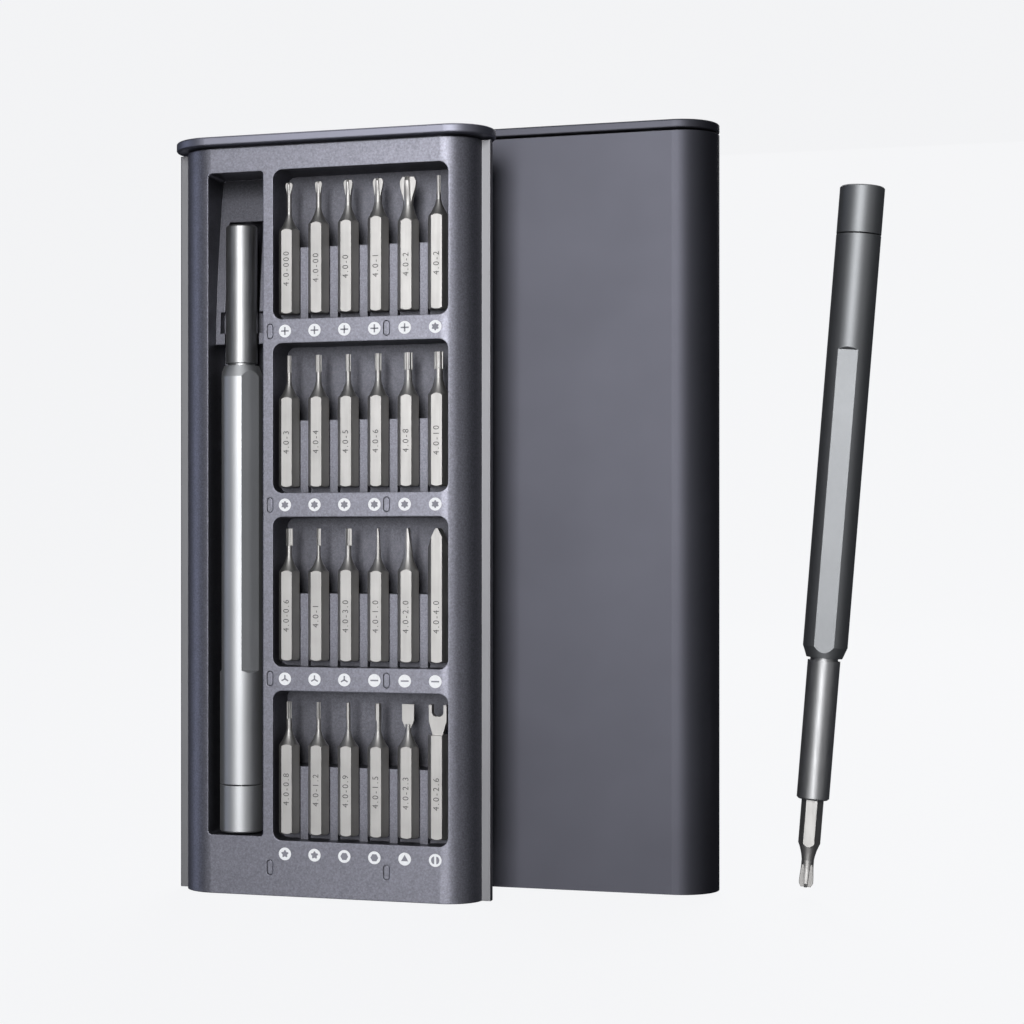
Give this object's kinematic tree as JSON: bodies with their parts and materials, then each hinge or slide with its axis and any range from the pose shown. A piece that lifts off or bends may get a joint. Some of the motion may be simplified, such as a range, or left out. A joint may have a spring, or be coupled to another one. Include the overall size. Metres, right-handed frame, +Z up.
{
  "type": "precision screwdriver set",
  "caption": "Slim sleeve case with a bit tray that slides out, small interchangeable hex-shank bits, and drivers with spinning end caps.",
  "frame": {"origin": "centre of the flat foot of the bit tray, on the surface that the set stands on", "axes": "+X along the case's width towards the sleeve, +Y from the case's front to its back, +Z up along the tray"},
  "size_m": [0.1484, 0.045, 0.165],
  "materials": {
    "anodised_sleeve": "satin dark grey anodised",
    "grained_plastic": "fine grain, dark grey",
    "anodised_cap": "satin dark grey anodised",
    "bright_rail": "light satin",
    "black_plastic": "matte",
    "white_plastic": "smooth, low friction",
    "soft_pad": "matte foam rubber",
    "steel": "bright",
    "magnet": "nickel plated",
    "handle_aluminium": "satin grey anodised",
    "chuck_steel": "satin",
    "bit_steel": "satin nickel"
  },
  "bodies": {
    "sleeve": {"sleeve_shell": "anodised_sleeve", "sleeve_end_cap": "anodised_sleeve", "end_plug": "black_plastic", "plug_screws": "steel", "bumper_pads": "soft_pad", "latch_housing": "black_plastic", "latch_spring": "steel"},
    "latch_slider": {"latch_slider": "white_plastic"},
    "latch_cam_pin": {"latch_cam_pin": "steel"},
    "tray": {"tray_moulding": "grained_plastic", "tray_cap": "anodised_cap", "tray_cap_dowels": "steel", "side_rails": "bright_rail", "tray_back_cover": "grained_plastic", "bit_magnets": "magnet", "driver_magnet": "magnet", "latch_striker": "steel"},
    "stowed_driver": {"stowed_handle": "handle_aluminium", "stowed_chuck": "chuck_steel", "stowed_socket_magnet": "magnet", "stowed_cap_axle": "steel"},
    "stowed_end_cap": {"stowed_end_cap": "handle_aluminium", "stowed_cap_bearing": "steel"},
    "working_bit": {"working_bit": "bit_steel"},
    "working_driver": {"working_handle": "handle_aluminium", "working_chuck": "chuck_steel", "working_socket_magnet": "magnet", "working_cap_axle": "steel"},
    "working_end_cap": {"working_end_cap": "handle_aluminium", "working_cap_bearing": "steel"},
    "bit_1_1": {"bit_1_1": "bit_steel"},
    "bit_1_2": {"bit_1_2": "bit_steel"},
    "bit_1_3": {"bit_1_3": "bit_steel"},
    "bit_1_4": {"bit_1_4": "bit_steel"},
    "bit_1_5": {"bit_1_5": "bit_steel"},
    "bit_1_6": {"bit_1_6": "bit_steel"},
    "bit_2_1": {"bit_2_1": "bit_steel"},
    "bit_2_2": {"bit_2_2": "bit_steel"},
    "bit_2_3": {"bit_2_3": "bit_steel"},
    "bit_2_4": {"bit_2_4": "bit_steel"},
    "bit_2_5": {"bit_2_5": "bit_steel"},
    "bit_2_6": {"bit_2_6": "bit_steel"},
    "bit_3_1": {"bit_3_1": "bit_steel"},
    "bit_3_2": {"bit_3_2": "bit_steel"},
    "bit_3_3": {"bit_3_3": "bit_steel"},
    "bit_3_4": {"bit_3_4": "bit_steel"},
    "bit_3_5": {"bit_3_5": "bit_steel"},
    "bit_3_6": {"bit_3_6": "bit_steel"},
    "bit_4_1": {"bit_4_1": "bit_steel"},
    "bit_4_2": {"bit_4_2": "bit_steel"},
    "bit_4_3": {"bit_4_3": "bit_steel"},
    "bit_4_4": {"bit_4_4": "bit_steel"},
    "bit_4_5": {"bit_4_5": "bit_steel"},
    "bit_4_6": {"bit_4_6": "bit_steel"}
  },
  "joints": [
    {"name": "tray_slide", "type": "slide", "parent": "sleeve", "child": "tray", "axis": [0, 0, 1], "range_m": [0, 0.157]},
    {"name": "latch_press", "type": "slide", "parent": "sleeve", "child": "latch_slider", "axis": [0, 0, 1], "range_m": [0, 0.0025], "stiffness_N_per_m": 200, "springref_m": -0.002, "deforming": ["latch_spring"]},
    {"name": "cam_pin_swing", "type": "hinge", "parent": "sleeve", "child": "latch_cam_pin", "pos_m": [0.0371, 0.02405, 0.16005], "axis": [0, 1, 0], "range_deg": [-4, 4]},
    {"name": "driver_tilt", "type": "hinge", "parent": "tray", "child": "stowed_driver", "pos_m": [-0.0199, 0.00095, 0.12], "axis": [-1, 0, 0], "range_deg": [0, 6]},
    {"name": "stowed_cap_spin", "type": "hinge", "parent": "stowed_driver", "child": "stowed_end_cap", "pos_m": [-0.0199, -0.0026, 0.0179], "axis": [0, 0, 1], "continuous": true},
    {"name": "bit_turn", "type": "hinge", "parent": "sleeve", "child": "working_bit", "pos_m": [0.0968, 0.0271, 0.0016], "axis": [0.0793, 0, 0.9968], "continuous": true},
    {"name": "driver_pull", "type": "slide", "parent": "working_bit", "child": "working_driver", "axis": [0.0793, 0, 0.9968], "range_m": [0, 0.0092]},
    {"name": "working_cap_spin", "type": "hinge", "parent": "working_driver", "child": "working_end_cap", "pos_m": [0.1083, 0.0271, 0.14614], "axis": [0.0793, 0, 0.9968], "continuous": true},
    {"name": "bit_1_1_lift", "type": "slide", "parent": "tray", "child": "bit_1_1", "axis": [0, -1, 0], "range_m": [0, 0.012]},
    {"name": "bit_1_2_lift", "type": "slide", "parent": "tray", "child": "bit_1_2", "axis": [0, -1, 0], "range_m": [0, 0.012]},
    {"name": "bit_1_3_lift", "type": "slide", "parent": "tray", "child": "bit_1_3", "axis": [0, -1, 0], "range_m": [0, 0.012]},
    {"name": "bit_1_4_lift", "type": "slide", "parent": "tray", "child": "bit_1_4", "axis": [0, -1, 0], "range_m": [0, 0.012]},
    {"name": "bit_1_5_lift", "type": "slide", "parent": "tray", "child": "bit_1_5", "axis": [0, -1, 0], "range_m": [0, 0.012]},
    {"name": "bit_1_6_lift", "type": "slide", "parent": "tray", "child": "bit_1_6", "axis": [0, -1, 0], "range_m": [0, 0.012]},
    {"name": "bit_2_1_lift", "type": "slide", "parent": "tray", "child": "bit_2_1", "axis": [0, -1, 0], "range_m": [0, 0.012]},
    {"name": "bit_2_2_lift", "type": "slide", "parent": "tray", "child": "bit_2_2", "axis": [0, -1, 0], "range_m": [0, 0.012]},
    {"name": "bit_2_3_lift", "type": "slide", "parent": "tray", "child": "bit_2_3", "axis": [0, -1, 0], "range_m": [0, 0.012]},
    {"name": "bit_2_4_lift", "type": "slide", "parent": "tray", "child": "bit_2_4", "axis": [0, -1, 0], "range_m": [0, 0.012]},
    {"name": "bit_2_5_lift", "type": "slide", "parent": "tray", "child": "bit_2_5", "axis": [0, -1, 0], "range_m": [0, 0.012]},
    {"name": "bit_2_6_lift", "type": "slide", "parent": "tray", "child": "bit_2_6", "axis": [0, -1, 0], "range_m": [0, 0.012]},
    {"name": "bit_3_1_lift", "type": "slide", "parent": "tray", "child": "bit_3_1", "axis": [0, -1, 0], "range_m": [0, 0.012]},
    {"name": "bit_3_2_lift", "type": "slide", "parent": "tray", "child": "bit_3_2", "axis": [0, -1, 0], "range_m": [0, 0.012]},
    {"name": "bit_3_3_lift", "type": "slide", "parent": "tray", "child": "bit_3_3", "axis": [0, -1, 0], "range_m": [0, 0.012]},
    {"name": "bit_3_4_lift", "type": "slide", "parent": "tray", "child": "bit_3_4", "axis": [0, -1, 0], "range_m": [0, 0.012]},
    {"name": "bit_3_5_lift", "type": "slide", "parent": "tray", "child": "bit_3_5", "axis": [0, -1, 0], "range_m": [0, 0.012]},
    {"name": "bit_3_6_lift", "type": "slide", "parent": "tray", "child": "bit_3_6", "axis": [0, -1, 0], "range_m": [0, 0.012]},
    {"name": "bit_4_1_lift", "type": "slide", "parent": "tray", "child": "bit_4_1", "axis": [0, -1, 0], "range_m": [0, 0.012]},
    {"name": "bit_4_2_lift", "type": "slide", "parent": "tray", "child": "bit_4_2", "axis": [0, -1, 0], "range_m": [0, 0.012]},
    {"name": "bit_4_3_lift", "type": "slide", "parent": "tray", "child": "bit_4_3", "axis": [0, -1, 0], "range_m": [0, 0.012]},
    {"name": "bit_4_4_lift", "type": "slide", "parent": "tray", "child": "bit_4_4", "axis": [0, -1, 0], "range_m": [0, 0.012]},
    {"name": "bit_4_5_lift", "type": "slide", "parent": "tray", "child": "bit_4_5", "axis": [0, -1, 0], "range_m": [0, 0.012]},
    {"name": "bit_4_6_lift", "type": "slide", "parent": "tray", "child": "bit_4_6", "axis": [0, -1, 0], "range_m": [0, 0.012]}
  ]
}
